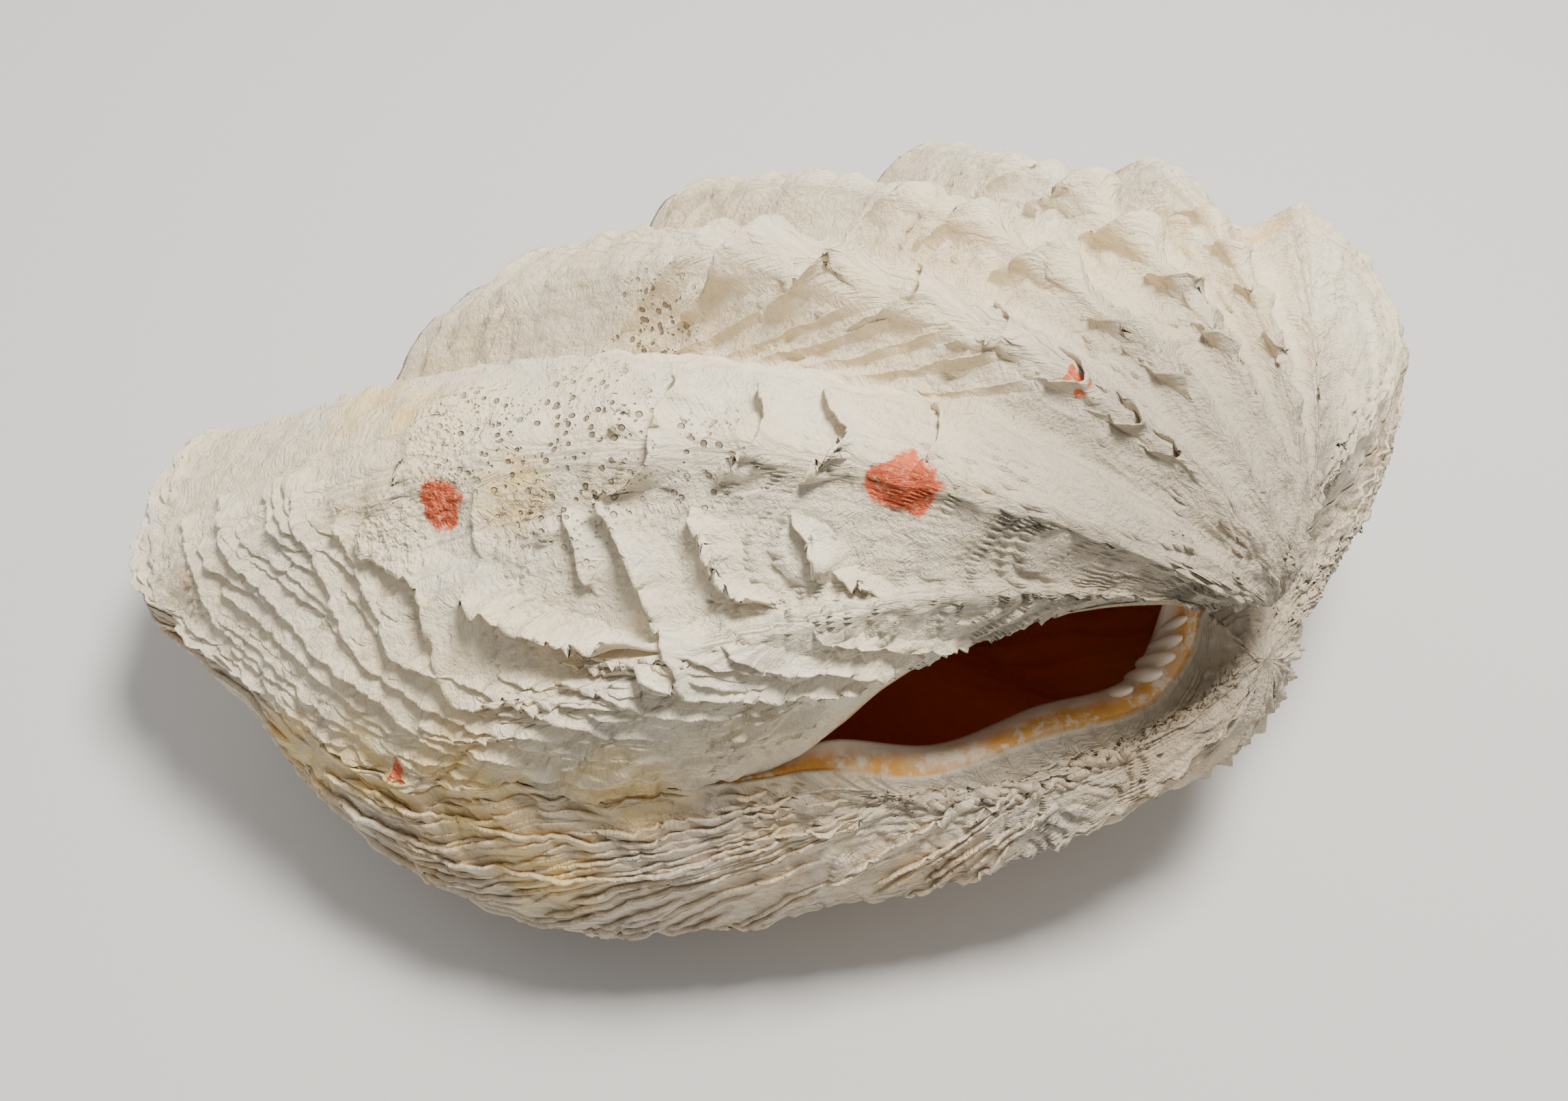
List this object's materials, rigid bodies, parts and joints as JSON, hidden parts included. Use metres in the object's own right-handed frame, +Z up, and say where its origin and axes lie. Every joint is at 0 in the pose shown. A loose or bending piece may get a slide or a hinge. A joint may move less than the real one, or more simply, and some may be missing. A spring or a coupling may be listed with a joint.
{
  "type": "giant clam shell",
  "caption": "Ribbed, scaly giant clam shell, closed and lying on its lower valve, with a wide open gape beside the hinge.",
  "frame": {"origin": "middle of the bounding box at its bottom, on the surface that the shell lies on", "axes": "+Z up; +X from the large front lobe towards the short back end, along the longest side; +Y away from the gape, towards the ribbed edge"},
  "size_m": [0.291, 0.2071, 0.1305],
  "materials": {
    "shell_cream": "chalky matt shell, cream, with growth ledges, boring pores and small red-orange crust patches; smooth porcelain-like inside",
    "shell_tan": "chalky matt shell, cream to tan, with dirt in its layered ledges; smooth white lip with an orange stain"
  },
  "bodies": {
    "root": {"upper_valve": "shell_cream", "lower_valve": "shell_tan"}
  },
  "joints": []
}
